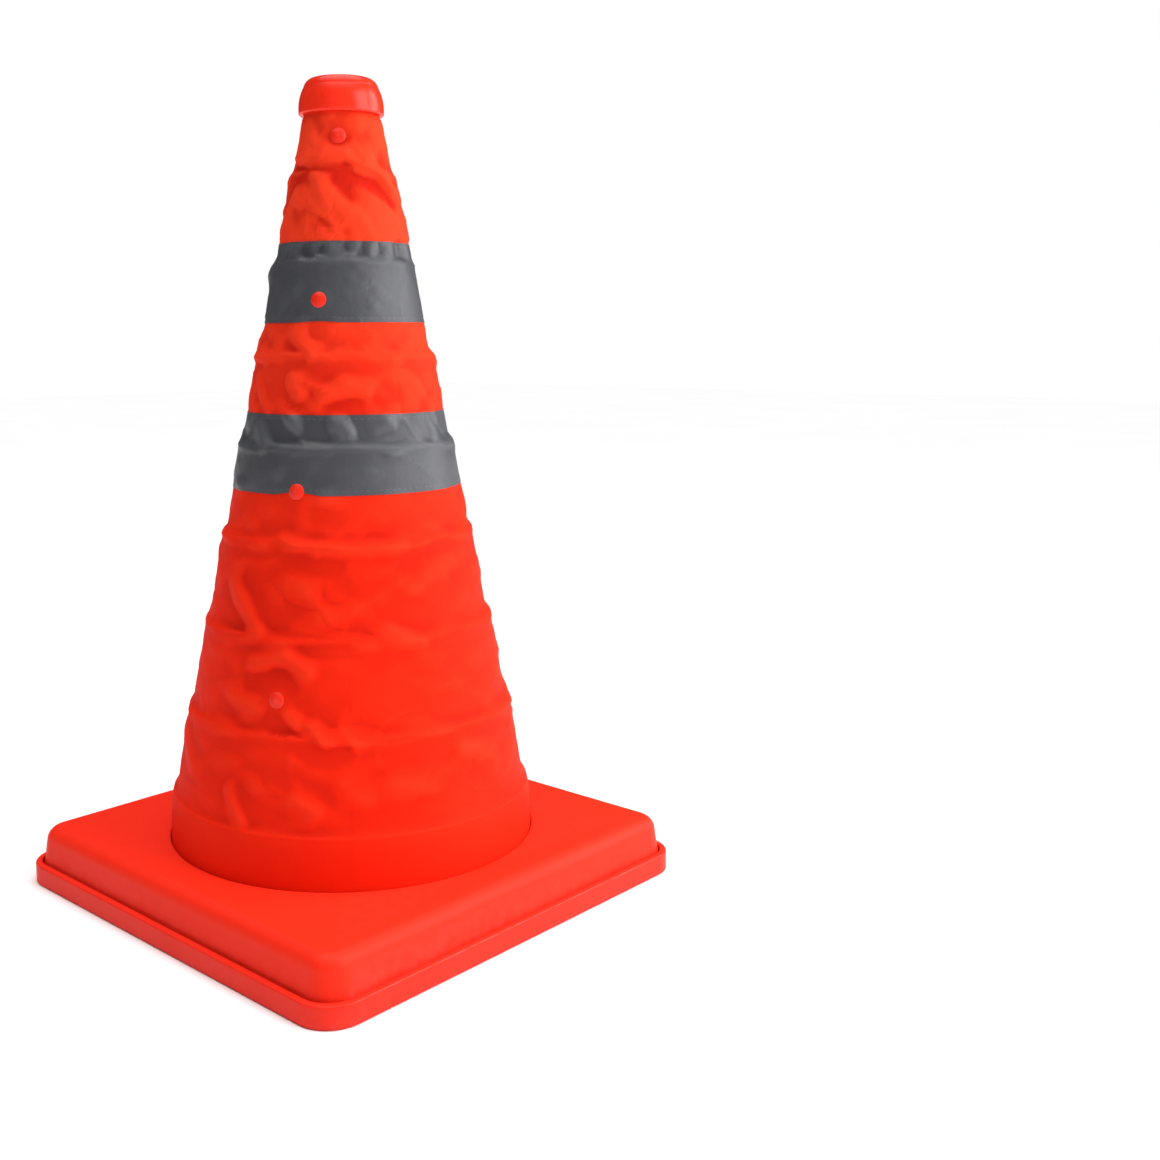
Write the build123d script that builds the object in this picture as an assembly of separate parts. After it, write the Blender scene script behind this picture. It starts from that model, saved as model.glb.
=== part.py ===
from build123d import *
import os
from math import atan, cos, degrees, pi, radians, sin

# Collapsible traffic cone, built as a telescope of friction rings.
# Millimetres, +Z up, origin at the centre of the underside of the base.
# A fixed collar stands in a square base. Eight tapered rings nest inside it,
# each one wedging in the mouth of the ring below when it is pulled up.
# A fabric sleeve is fastened to every second ring, a cap closes the top.

# ---------------------------------------------------------------- overall
TOTAL_H = 450.0          # floor to top of cap
BASE_SIDE = 270.0        # outside of the square tray
BASE_R = 20.0            # corner radius of the tray
RIM_H = 11.5             # height of the tray rim
RIM_T = 3.5              # thickness of the tray rim
PLATE_T = 2.2            # tray bottom plate
BASE_H = 31.0            # top face of the base shell
SHELL_T = 2.5            # wall of the base shell
SHELL_TAPER = 8.0        # draft of the base shell side, degrees
SHELL_ROUND = 8.0        # rounding of the base shell's upper edge

# ---------------------------------------------------------------- telescope
N_RINGS = 8
Z0 = 57.0                # top edge of the fixed collar
PITCH = 48.7             # rise of one stage, also its travel
RING_H = 54.3            # height of one ring
WALL = 1.8               # radial wall of a ring
CLEAR = 0.35             # radial clearance between a ring and the one around it
STEP = 10.4              # loss of radius per stage
R_COLLAR_TOP = 100.2     # outer radius of the collar at its top edge
R_COLLAR_FOOT = 102.1    # outer radius of the collar where it leaves the base
SLOPE = (STEP - WALL - CLEAR) / PITCH   # taper of every ring, radius per height
TILT = atan(SLOPE)

# ---------------------------------------------------------------- sleeve
CLOTH_GAP = 0.1          # radial gap between a ring and the sleeve on it
CLOTH_T = 0.8            # thickness of the sleeve
BAND_GAP = 0.05
BAND_T = 0.4             # thickness of a reflective band
LOW_BAND = (228.9, 270.4)    # heights of the lower band's edges
HIGH_BAND = (318.6, 361.6)   # heights of the upper band's edges

# ---------------------------------------------------------------- rivets
RIVET_HEAD_R = 4.25
RIVET_RIM_H = 0.35
RIVET_DOME_H = 1.35
RIVET_SHANK_R = 2.0
RIVET_HOLE_R = 2.1
RIVET_TAIL_R = 3.5
RIVET_TAIL_H = 1.2
# ring number: (depth below the ring's top edge, azimuth in degrees from +X)
RIVETS = {2: (30.5, -67.5), 4: (22.3, -65.5), 6: (20.0, -59.5), 8: (30.0, -46.0)}
RIVETS_PER_RING = 2

# ---------------------------------------------------------------- cap
CAP_LIP_R = 23.4         # radius of the cap's lower lip
CAP_LIP_Z = 430.4        # underside of the lip
SOCKET_R = 13.0          # hole through the cap
PLUG_R = 14.9            # outside of the plug that enters the top ring
PLUG_Z = 428.0           # lower end of the plug

# ---------------------------------------------------------------- screws
SCREW_AT = 114.0         # screws at (+-SCREW_AT, +-SCREW_AT)
SCREW_HEAD_R = 3.6
SCREW_SHANK_R = 1.8
SCREW_LEN = 14.0
PAD_R = 7.0              # raised pad of the tray under each screw boss
PAD_Z = 4.5
BOSS_R = 5.5


def z_top(k):
    # Height of the top edge of ring k, the collar being ring 0.
    return Z0 + k * PITCH


def r_top(k):
    # Outer radius of ring k at its top edge.
    return R_COLLAR_TOP - k * STEP


def r_out(k, z):
    # Outer radius of ring k at height z.
    if k == 0:
        if z >= 52.0:
            return R_COLLAR_TOP + (101.2 - R_COLLAR_TOP) * (Z0 - z) / (Z0 - 52.0)
        if z >= BASE_H:
            return 101.2 + (R_COLLAR_FOOT - 101.2) * (52.0 - z) / (52.0 - BASE_H)
        return R_COLLAR_FOOT
    return r_top(k) + SLOPE * (z_top(k) - z)


def turned(points):
    # Solid of revolution about Z from a closed (radius, height) outline.
    with BuildPart() as p:
        with BuildSketch(Plane.XZ):
            with BuildLine():
                Polyline(*points, close=True)
            make_face()
        revolve(axis=Axis.Z)
    return p.part


def on_cone(k, z, azimuth):
    # Location on the outside of ring k, local Z along the outward normal.
    a = radians(azimuth)
    n = Vector(cos(TILT) * cos(a), cos(TILT) * sin(a), sin(TILT))
    r = r_out(k, z)
    return Plane(origin=Vector(r * cos(a), r * sin(a), z), z_dir=n)


def rivet_planes(k):
    depth, azimuth = RIVETS[k]
    z = z_top(k) - depth
    return [on_cone(k, z, azimuth + i * 360.0 / RIVETS_PER_RING) for i in range(RIVETS_PER_RING)]


def drilled(solid, k):
    # Holes for the rivets of ring k.
    if k not in RIVETS:
        return solid
    for plane in rivet_planes(k):
        solid = solid - plane.location * Cylinder(RIVET_HOLE_R, 14.0)
    return solid


def rounded_square(side, radius, z):
    return Plane.XY.offset(z) * RectangleRounded(side, side, radius)


parts = {}

# ------------------------------------------------------------------ tray
# Bottom plate with an upstanding rim. A raised pad at each corner takes a screw.
tray = extrude(rounded_square(BASE_SIDE, BASE_R, 0), RIM_H)
tray = fillet(tray.edges().group_by(Axis.Z)[-1], 1.2)
tray = chamfer(tray.edges().group_by(Axis.Z)[0], 0.7)
tray = tray - extrude(rounded_square(BASE_SIDE - 2 * RIM_T, BASE_R - RIM_T, PLATE_T), RIM_H)
for sx in (-1, 1):
    for sy in (-1, 1):
        at = Location((sx * SCREW_AT, sy * SCREW_AT, 0))
        tray = tray + at * Pos(0, 0, (PLATE_T + PAD_Z) / 2 - 0.2) * Cylinder(PAD_R, PAD_Z - PLATE_T + 0.4)
        tray = tray - at * Pos(0, 0, 1.1) * Cylinder(4.0, 2.2)
        tray = tray - at * Pos(0, 0, 3.5) * Cylinder(2.0, 6.0)
parts["base_tray"] = tray

# ------------------------------------------------------------------ base shell
# Raised square cover with drafted sides, a soft upper edge and a round opening
# whose inner skirt presses the sleeve's hem against the collar.
half = BASE_SIDE / 2 - RIM_T - 0.2
outer = extrude(rounded_square(2 * half, BASE_R - RIM_T - 0.2, PLATE_T), BASE_H - PLATE_T, taper=SHELL_TAPER)
outer = fillet(outer.edges().group_by(Axis.Z)[-1], SHELL_ROUND)
inner = extrude(rounded_square(2 * (half - SHELL_T), BASE_R - RIM_T - 0.2 - SHELL_T, PLATE_T - 1), BASE_H - PLATE_T - SHELL_T + 1, taper=SHELL_TAPER)
inner = fillet(inner.edges().group_by(Axis.Z)[-1], SHELL_ROUND - SHELL_T)
shell = outer - inner
OPENING_R = R_COLLAR_FOOT + CLOTH_GAP + CLOTH_T + 0.3
shell = shell + turned([(OPENING_R, 6.2), (OPENING_R + 2.0, 6.2), (OPENING_R + 2.0, BASE_H - 1.0), (OPENING_R, BASE_H - 1.0)])
for sx in (-1, 1):
    for sy in (-1, 1):
        shell = shell + Location((sx * SCREW_AT, sy * SCREW_AT, (PAD_Z + 0.1 + BASE_H - 1.0) / 2)) * Cylinder(BOSS_R, BASE_H - 1.0 - PAD_Z - 0.1)
shell = shell - Pos(0, 0, BASE_H / 2) * Cylinder(OPENING_R, BASE_H + 10)
for sx in (-1, 1):
    for sy in (-1, 1):
        shell = shell - Location((sx * SCREW_AT, sy * SCREW_AT, PAD_Z + 6.5)) * Cylinder(SCREW_SHANK_R + 0.05, 15.0)
shell = chamfer(shell.edges().filter_by(GeomType.CIRCLE).group_by(Axis.Z)[-1].filter_by(lambda e: abs(e.radius - OPENING_R) < 0.01), 0.5)
parts["base_shell"] = shell

# ------------------------------------------------------------------ tray screws
# Four equal pan-head screws, driven from below.
screws = []
for sx in (-1, 1):
    for sy in (-1, 1):
        s = Pos(0, 0, 1.3) * Cylinder(SCREW_HEAD_R, 1.7) + Pos(0, 0, 2.1 + SCREW_LEN / 2) * Cylinder(SCREW_SHANK_R, SCREW_LEN)
        s = s - Pos(0, 0, 0.7) * Box(3.8, 0.8, 1.0) - Pos(0, 0, 0.7) * Box(0.8, 3.8, 1.0)
        screws.append(Location((sx * SCREW_AT, sy * SCREW_AT, 0)) * s)
parts["tray_screws"] = Compound(children=screws)

# ------------------------------------------------------------------ collar
# Fixed lowest stage. Its mouth has the same taper as the rings, its foot is a
# flange that stands on the tray plate.
r_mouth = R_COLLAR_TOP - WALL
z_mouth = Z0 - 6.6
r_bore = r_mouth + SLOPE * 6.6
parts["collar"] = turned([
    (r_bore, PLATE_T), (112.0, PLATE_T), (112.0, 4.4), (R_COLLAR_FOOT, 4.4),
    (R_COLLAR_FOOT, BASE_H), (101.2, 52.0), (R_COLLAR_TOP, Z0), (r_mouth, Z0), (r_bore, z_mouth),
])

# ------------------------------------------------------------------ rings
# Eight tapered rings of equal height and taper.
for k in range(1, N_RINGS + 1):
    zt, zb = z_top(k), z_top(k) - RING_H
    ring = turned([(r_out(k, zb) - WALL, zb), (r_out(k, zb), zb), (r_out(k, zt), zt), (r_out(k, zt) - WALL, zt)])
    parts[f"ring_{k}"] = drilled(ring, k)

# ------------------------------------------------------------------ cap
# Rounded top ring: a skirt over the sleeve, a roof on the top ring's edge and
# a plug inside it. The hole through it is a socket.
zr = z_top(N_RINGS) + 0.2
with BuildPart() as cap:
    with BuildSketch(Plane.XZ):
        with BuildLine():
            Polyline(
                (SOCKET_R, 446.6), (SOCKET_R, PLUG_Z), (PLUG_R, PLUG_Z), (PLUG_R, zr),
                (r_out(N_RINGS, zr) + 1.05, zr), (r_out(N_RINGS, CAP_LIP_Z) + 1.05, CAP_LIP_Z),
                (CAP_LIP_R - 0.6, CAP_LIP_Z), (CAP_LIP_R, CAP_LIP_Z + 0.8), (CAP_LIP_R, 434.4),
            )
            ThreePointArc((CAP_LIP_R, 434.4), (22.55, 440.2), (20.5, 445.4))
            ThreePointArc((20.5, 445.4), (18.95, 448.3), (16.2, TOTAL_H))
            ThreePointArc((16.2, TOTAL_H), (13.93, 449.07), (SOCKET_R, 446.6))
        make_face()
    revolve(axis=Axis.Z)
parts["cap"] = cap.part

# ------------------------------------------------------------------ sleeve
# The fabric sleeve, one length per stage. Each length lies on the outside of
# its ring and turns in over the top edge of the ring below.
c0, c1 = CLOTH_GAP, CLOTH_GAP + CLOTH_T
parts["sleeve_hem"] = turned([
    (R_COLLAR_FOOT + c0, 6.5), (R_COLLAR_FOOT + c1, 6.5), (R_COLLAR_FOOT + c1, BASE_H), (101.2 + c1, 52.0),
    (R_COLLAR_TOP + c1, Z0), (R_COLLAR_TOP + c0, Z0), (101.2 + c0, 52.0), (R_COLLAR_FOOT + c0, BASE_H),
])
for k in range(1, N_RINGS + 1):
    zb, zt = z_top(k - 1), z_top(k) if k < N_RINGS else z_top(k) - 0.1
    zf0, zf1 = zb + 0.15, zb + 0.15 + CLOTH_T
    length = turned([
        (r_out(k, zf0) + c0, zf0), (r_top(k - 1) + c1, zf0), (r_top(k - 1) + c1, zf1), (r_out(k, zf1) + c1, zf1),
        (r_out(k, zt) + c1, zt), (r_out(k, zt) + c0, zt),
    ])
    parts[f"sleeve_{k}"] = drilled(length, k)

# ------------------------------------------------------------------ bands
# Two reflective bands around the sleeve. Each one crosses the top edge of a
# riveted ring, so it has a lower and an upper piece.
b0, b1 = c1 + BAND_GAP, c1 + BAND_GAP + BAND_T
for name, k, (lo, hi) in (("band_low", 4, LOW_BAND), ("band_high", 6, HIGH_BAND)):
    ze = z_top(k)
    zf0, zf1 = ze + 0.15 + CLOTH_T + 0.05, ze + 0.15 + CLOTH_T + 0.05 + BAND_T
    below = turned([(r_out(k, lo) + b0, lo), (r_out(k, lo) + b1, lo), (r_out(k, ze) + b1, ze), (r_out(k, ze) + b0, ze)])
    above = turned([
        (r_out(k + 1, zf0) + b0, zf0), (r_top(k) + b1, zf0), (r_top(k) + b1, zf1), (r_out(k + 1, zf1) + b1, zf1),
        (r_out(k + 1, hi) + b1, hi), (r_out(k + 1, hi) + b0, hi),
    ])
    parts[f"{name}_{k}"] = drilled(below, k)
    parts[f"{name}_{k + 1}"] = above

# ------------------------------------------------------------------ rivets
# Round-headed rivets holding the sleeve to the even rings: head outside the
# sleeve, shank through sleeve and ring, flat tail inside the ring.
for k in RIVETS:
    z = z_top(k) - RIVETS[k][0]
    over = c1 if k not in (4, 6) else b1
    top = over * cos(TILT) + 0.03
    sag = RIVET_TAIL_R ** 2 / (2 * (r_out(k, z) - WALL)) + 0.08
    low = -WALL * cos(TILT) - sag
    dome_r = (RIVET_HEAD_R ** 2 + RIVET_DOME_H ** 2) / (2 * RIVET_DOME_H)
    rim = Pos(0, 0, top + RIVET_RIM_H / 2) * Cylinder(RIVET_HEAD_R, RIVET_RIM_H)
    dome = (Pos(0, 0, top + RIVET_RIM_H + RIVET_DOME_H - dome_r) * Sphere(dome_r)) & (
        Pos(0, 0, top + RIVET_RIM_H + RIVET_DOME_H / 2) * Cylinder(RIVET_HEAD_R + 1.0, RIVET_DOME_H))
    head = rim + dome
    shank = Pos(0, 0, (top + 0.4 + low - 0.4) / 2) * Cylinder(RIVET_SHANK_R, top - low + 0.8)
    tail = Pos(0, 0, low - RIVET_TAIL_H / 2) * Cylinder(RIVET_TAIL_R, RIVET_TAIL_H)
    one = head + shank + tail
    parts[f"rivets_{k}"] = Compound(children=[plane.location * one for plane in rivet_planes(k)])

# ------------------------------------------------------------------ export
os.makedirs("parts", exist_ok=True)
for name, solid in parts.items():
    export_step(solid, f"parts/{name}.step")
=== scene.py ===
import bpy
import math
import numpy as np
from mathutils import Matrix, Vector


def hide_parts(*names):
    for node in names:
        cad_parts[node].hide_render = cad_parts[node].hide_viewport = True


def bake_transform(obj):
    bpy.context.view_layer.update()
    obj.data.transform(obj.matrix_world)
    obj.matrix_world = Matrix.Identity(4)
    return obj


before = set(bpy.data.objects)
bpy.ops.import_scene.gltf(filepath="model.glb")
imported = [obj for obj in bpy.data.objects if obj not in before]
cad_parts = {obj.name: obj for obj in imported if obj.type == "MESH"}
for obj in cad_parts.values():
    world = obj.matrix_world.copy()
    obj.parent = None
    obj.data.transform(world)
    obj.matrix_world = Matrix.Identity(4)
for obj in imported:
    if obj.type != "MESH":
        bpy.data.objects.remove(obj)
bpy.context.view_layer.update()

# ------------------------------------------------------------------ dimensions, metres
Z0, PITCH, STEP, WALL, CLEAR = 0.057, 0.0487, 0.0104, 0.0018, 0.00035
R_TOP0, R_FOOT, BASE_H = 0.1002, 0.1021, 0.031
SLOPE = (STEP - WALL - CLEAR) / PITCH
CLOTH_OUT = 0.00055           # outside of the sleeve above the ring it lies on
CLOTH_T = 0.00045
LOW_BAND, HIGH_BAND = (0.2289, 0.2704), (0.3186, 0.3616)
RIVETS = {2: (0.0305, -67.5), 4: (0.0223, -65.5), 6: (0.0200, -59.5), 8: (0.0300, -46.0)}
VIEW_AZ = -41.0               # azimuth of the side that faces the camera, degrees
SEAM_AZ = 139.0               # the sleeve's seam is at the back
N_T = 336                     # points round the sleeve


def z_top(k):
    return Z0 + k * PITCH


def r_top(k):
    return R_TOP0 - k * STEP


def ring_surface(z):
    """Radius of the rings' outer surface at each height: what the sleeve lies on."""
    z = np.asarray(z, float)
    k = np.clip(np.ceil((z - Z0) / PITCH - 1e-9), 0, 8)
    r = R_TOP0 - k * STEP + SLOPE * (Z0 + k * PITCH - z)
    collar = np.interp(z, [BASE_H, 0.052, Z0], [R_FOOT, 0.1012, R_TOP0])
    return np.where(k < 0.5, collar, r)


def ring_corner(z):
    """The same, but no edge of a ring is cut across between two rows of the sleeve."""
    z = np.asarray(z, float)
    return np.maximum(np.maximum(ring_surface(z - 0.0010), ring_surface(z + 0.0010)), ring_surface(z))


def smooth(e0, e1, x):
    t = np.clip((x - e0) / (e1 - e0), 0, 1)
    return t * t * (3 - 2 * t)


# ------------------------------------------------------------------ node helpers
def new_material(name):
    m = bpy.data.materials.new(name)
    m.use_nodes = True
    nt = m.node_tree
    nt.nodes.clear()
    out = nt.nodes.new("ShaderNodeOutputMaterial")
    bsdf = nt.nodes.new("ShaderNodeBsdfPrincipled")
    nt.links.new(bsdf.outputs[0], out.inputs[0])
    return m, nt, bsdf


def node(nt, kind, **values):
    n = nt.nodes.new(kind)
    for k, v in values.items():
        if k in n.inputs:
            n.inputs[k].default_value = v
        else:
            setattr(n, k, v)
    return n


def math_node(nt, op, a, b=None, c=None, clamp=False):
    n = nt.nodes.new("ShaderNodeMath")
    n.operation = op
    n.use_clamp = clamp
    for i, x in enumerate((a, b, c)):
        if x is None:
            continue
        if isinstance(x, (int, float)):
            n.inputs[i].default_value = x
        else:
            nt.links.new(x, n.inputs[i])
    return n.outputs[0]


def mix_color(nt, fac, a, b, blend="MIX"):
    n = nt.nodes.new("ShaderNodeMix")
    n.data_type = "RGBA"
    n.blend_type = blend
    if isinstance(fac, (int, float)):
        n.inputs[0].default_value = fac
    else:
        nt.links.new(fac, n.inputs[0])
    for sock, v in ((n.inputs[6], a), (n.inputs[7], b)):
        if isinstance(v, (tuple, list)):
            sock.default_value = (*v[:3], 1.0)
        else:
            nt.links.new(v, sock)
    return n.outputs[2]


def ramp(nt, src, stops):
    n = nt.nodes.new("ShaderNodeValToRGB")
    e = n.color_ramp.elements
    e[0].position, e[0].color = stops[0][0], (*stops[0][1], 1)
    e[1].position, e[1].color = stops[-1][0], (*stops[-1][1], 1)
    for p, c in stops[1:-1]:
        x = e.new(p)
        x.color = (*c, 1)
    nt.links.new(src, n.inputs[0])
    return n.outputs[0]


def noise(nt, vec, scale, detail=3.0, rough=0.55, distortion=0.0):
    n = nt.nodes.new("ShaderNodeTexNoise")
    n.inputs["Scale"].default_value = scale
    n.inputs["Detail"].default_value = detail
    n.inputs["Roughness"].default_value = rough
    n.inputs["Distortion"].default_value = distortion
    if vec is not None:
        nt.links.new(vec, n.inputs["Vector"])
    return n.outputs["Fac"]


def scaled(nt, vec, s):
    n = nt.nodes.new("ShaderNodeMapping")
    n.inputs["Scale"].default_value = s
    nt.links.new(vec, n.inputs["Vector"])
    return n.outputs[0]


def bump(nt, height, strength, distance, normal=None):
    n = nt.nodes.new("ShaderNodeBump")
    n.inputs["Strength"].default_value = strength
    n.inputs["Distance"].default_value = distance
    nt.links.new(height, n.inputs["Height"])
    if normal is not None:
        nt.links.new(normal, n.inputs["Normal"])
    return n.outputs[0]


def object_vector(nt):
    return nt.nodes.new("ShaderNodeTexCoord").outputs["Object"]


def fabric_vector(nt):
    """Metres along the cloth: x round the sleeve, y up it."""
    n = nt.nodes.new("ShaderNodeAttribute")
    n.attribute_type = "GEOMETRY"
    n.attribute_name = "cloth_m"
    return n.outputs["Vector"]


# ------------------------------------------------------------------ materials
def plastic(name, color, dark, rough=0.42, grain=900.0, grain_bump=0.00002, coat=0.0, coat_rough=0.2, wear=0.35, spec=0.5):
    m, nt, b = new_material(name)
    o = object_vector(nt)
    cloud = noise(nt, o, 14.0, 4.0, 0.6)
    fine = noise(nt, o, 160.0, 3.0, 0.6)
    c = mix_color(nt, math_node(nt, "MULTIPLY", cloud, 0.30), color, dark)
    # handling marks: pale scuffs where the form turns outwards
    geo = nt.nodes.new("ShaderNodeNewGeometry")
    edge = math_node(nt, "MULTIPLY_ADD", geo.outputs["Pointiness"], 9.0, -4.75, clamp=True)
    scuff = math_node(nt, "MULTIPLY", edge, math_node(nt, "MULTIPLY_ADD", fine, 2.2, -0.75, clamp=True), clamp=True)
    pale = tuple(min(1.0, v * 0.8 + 0.20) for v in color)
    c = mix_color(nt, math_node(nt, "MULTIPLY", scuff, wear), c, pale)
    nt.links.new(c, b.inputs["Base Color"])
    r = math_node(nt, "ADD", math_node(nt, "MULTIPLY_ADD", cloud, 0.16, rough - 0.08), math_node(nt, "MULTIPLY", scuff, 0.15))
    nt.links.new(r, b.inputs["Roughness"])
    b.inputs["Specular IOR Level"].default_value = spec
    b.inputs["IOR"].default_value = 1.47
    b.inputs["Coat Weight"].default_value = coat
    b.inputs["Coat Roughness"].default_value = coat_rough
    g = noise(nt, o, grain, 2.0, 0.5)
    low = noise(nt, o, 26.0, 2.0, 0.5)
    n1 = bump(nt, low, 0.35, 0.0004)
    n2 = bump(nt, g, 0.5, grain_bump, n1)
    nt.links.new(n2, b.inputs["Normal"])
    return m


def cloth(name, color, dark, light, crease_shade_color, rough, sheen, sheen_rough, weave=0.00006, pitch=0.0009, spec=0.4, lit_top_color=None, seam=True, stitch_rows=(), metal=0.0):
    m, nt, b = new_material(name)
    v = fabric_vector(nt)
    o = object_vector(nt)
    sep = nt.nodes.new("ShaderNodeSeparateXYZ")
    nt.links.new(v, sep.inputs[0])
    x, y = sep.outputs[0], sep.outputs[1]
    # plain weave: over and under threads
    wx = math_node(nt, "SINE", math_node(nt, "MULTIPLY", x, 2 * math.pi / pitch))
    wy = math_node(nt, "SINE", math_node(nt, "MULTIPLY", y, 2 * math.pi / pitch))
    over = math_node(nt, "MULTIPLY", wx, wy)
    threads = math_node(nt, "ADD", math_node(nt, "MULTIPLY", math_node(nt, "ABSOLUTE", wx), 0.5), math_node(nt, "MULTIPLY", math_node(nt, "ABSOLUTE", wy), 0.5))
    weave_h = math_node(nt, "MULTIPLY_ADD", over, 0.5, threads)
    uneven = noise(nt, scaled(nt, v, (1.0, 0.15, 1.0)), 900.0, 2.0, 0.6)
    cloud = noise(nt, o, 20.0, 4.0, 0.6)
    # patchy noise: where the cloth's edges are worn paler, and where the painted highlight on fold crests shows
    wear_and_highlight_patches = noise(nt, o, 60.0, 5.0, 0.65, 0.4)
    base = color
    if lit_top_color is not None:
        # painted light: the orange is a little lighter towards the top of the sleeve, where more light falls
        base = mix_color(nt, math_node(nt, "MULTIPLY_ADD", y, 5.8, -1.15, clamp=True), color, lit_top_color)
    c = mix_color(nt, math_node(nt, "MULTIPLY", cloud, 0.35), base, dark)
    c = mix_color(nt, math_node(nt, "MULTIPLY", math_node(nt, "MULTIPLY_ADD", weave_h, 0.25, 0.1, clamp=True), 0.5), c, dark)
    geo = nt.nodes.new("ShaderNodeNewGeometry")
    crease = math_node(nt, "MULTIPLY_ADD", geo.outputs["Pointiness"], 7.0, -3.62, clamp=True)
    worn = math_node(nt, "MULTIPLY", crease, math_node(nt, "MULTIPLY_ADD", wear_and_highlight_patches, 1.8, -0.45, clamp=True), clamp=True)
    c = mix_color(nt, math_node(nt, "MULTIPLY", worn, 0.35), c, light)
    # painted shade and painted highlight: the cloth is tinted darker in its creases and paler on its fold crests,
    # following the relief attribute
    rel = nt.nodes.new("ShaderNodeAttribute")
    rel.attribute_type = "GEOMETRY"
    rel.attribute_name = "relief"
    relief = rel.outputs["Fac"]
    c = mix_color(nt, math_node(nt, "MULTIPLY", math_node(nt, "MULTIPLY", relief, -1.0, clamp=True), 0.80), c, crease_shade_color)
    # painted highlight on the fold crests, in patches
    fold_highlight = math_node(nt, "MULTIPLY", math_node(nt, "MULTIPLY_ADD", relief, 1.0, -0.08, clamp=True), math_node(nt, "MULTIPLY_ADD", wear_and_highlight_patches, 0.9, 0.2, clamp=True))
    c = mix_color(nt, math_node(nt, "MULTIPLY", fold_highlight, 0.42), c, light)
    height = math_node(nt, "ADD", weave_h, math_node(nt, "MULTIPLY", uneven, 0.8))
    normal = bump(nt, noise(nt, o, 95.0, 4.0, 0.6, 0.3), 0.34, 0.0009)
    normal = bump(nt, height, 0.55, weave, normal)
    rough_out = math_node(nt, "ADD", math_node(nt, "MULTIPLY_ADD", cloud, 0.14, rough - 0.07), math_node(nt, "MULTIPLY", worn, 0.06))
    # rows of lock stitches that run round the sleeve at given heights, and up the seam
    marks = None
    for yy in stitch_rows:
        line = math_node(nt, "COMPARE", y, yy, 0.00045)
        dash = math_node(nt, "GREATER_THAN", math_node(nt, "SINE", math_node(nt, "MULTIPLY", x, 2 * math.pi / 0.0034)), -0.35)
        mk = math_node(nt, "MULTIPLY", line, dash)
        marks = mk if marks is None else math_node(nt, "MAXIMUM", marks, mk)
    if seam:
        for xx in (-0.0016, 0.0016):
            line = math_node(nt, "COMPARE", x, xx, 0.00045)
            dash = math_node(nt, "GREATER_THAN", math_node(nt, "SINE", math_node(nt, "MULTIPLY", y, 2 * math.pi / 0.0034)), -0.35)
            mk = math_node(nt, "MULTIPLY", line, dash)
            marks = mk if marks is None else math_node(nt, "MAXIMUM", marks, mk)
    if marks is not None:
        c = mix_color(nt, math_node(nt, "MULTIPLY", marks, 0.22), c, light)
        normal = bump(nt, marks, 0.6, 0.00025, normal)
    nt.links.new(c, b.inputs["Base Color"])
    nt.links.new(rough_out, b.inputs["Roughness"])
    nt.links.new(normal, b.inputs["Normal"])
    b.inputs["Specular IOR Level"].default_value = spec
    b.inputs["Sheen Weight"].default_value = sheen
    b.inputs["Sheen Roughness"].default_value = sheen_rough
    b.inputs["Sheen Tint"].default_value = (*light[:3], 1.0)
    b.inputs["Metallic"].default_value = metal
    return m


ORANGE = (0.90, 0.0215, 0.0040)
ORANGE_DARK = (0.74, 0.0125, 0.0032)
ORANGE_LIGHT = (0.98, 0.060, 0.020)
m_shell = plastic("base_shell_plastic", (0.92, 0.026, 0.0075), (0.80, 0.017, 0.0055), rough=0.50, grain=1100.0, grain_bump=0.00003, spec=0.14)
m_tray = plastic("base_tray_plastic", (0.85, 0.024, 0.0085), (0.74, 0.016, 0.0065), rough=0.50, grain=900.0, spec=0.16)
m_ring = plastic("ring_plastic", (0.86, 0.040, 0.012), (0.70, 0.022, 0.008), rough=0.40)
m_cap = plastic("cap_gloss_plastic", (0.96, 0.030, 0.010), (0.90, 0.022, 0.008), rough=0.27, grain=500.0, grain_bump=0.000006, coat=0.0, coat_rough=0.10, wear=0.10, spec=0.24)
m_rivet = plastic("rivet_plastic", (0.88, 0.026, 0.008), (0.68, 0.014, 0.006), rough=0.38, grain=700.0, spec=0.22)
# the fifth colour of each cloth is the painted shade in its creases; the sleeve's last colour is painted light, a
# lighter orange towards its top
m_cloth = cloth("sleeve_cloth", ORANGE, ORANGE_DARK, ORANGE_LIGHT, (0.56, 0.0075, 0.0022), lit_top_color=(0.96, 0.0570, 0.0170), rough=0.66, sheen=0.03, sheen_rough=0.45, spec=0.05)
m_band = cloth("band_cloth", (0.070, 0.071, 0.081), (0.050, 0.051, 0.058), (0.125, 0.127, 0.140), (0.036, 0.036, 0.042), rough=0.42, sheen=0.05, sheen_rough=0.40, weave=0.00004, pitch=0.0007, spec=0.38,
               stitch_rows=(LOW_BAND[0] + 0.0022, LOW_BAND[1] - 0.0022, HIGH_BAND[0] + 0.0022, HIGH_BAND[1] - 0.0022))


def steel():
    m, nt, b = new_material("screw_zinc")
    o = object_vector(nt)
    n = noise(nt, o, 220.0, 4.0, 0.6)
    nt.links.new(ramp(nt, n, [(0.3, (0.42, 0.43, 0.45)), (0.7, (0.62, 0.63, 0.65))]), b.inputs["Base Color"])
    b.inputs["Metallic"].default_value = 1.0
    nt.links.new(math_node(nt, "MULTIPLY_ADD", n, 0.25, 0.25), b.inputs["Roughness"])
    nt.links.new(bump(nt, noise(nt, o, 900.0, 2.0), 0.3, 0.00004), b.inputs["Normal"])
    return m


m_screw = steel()

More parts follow.
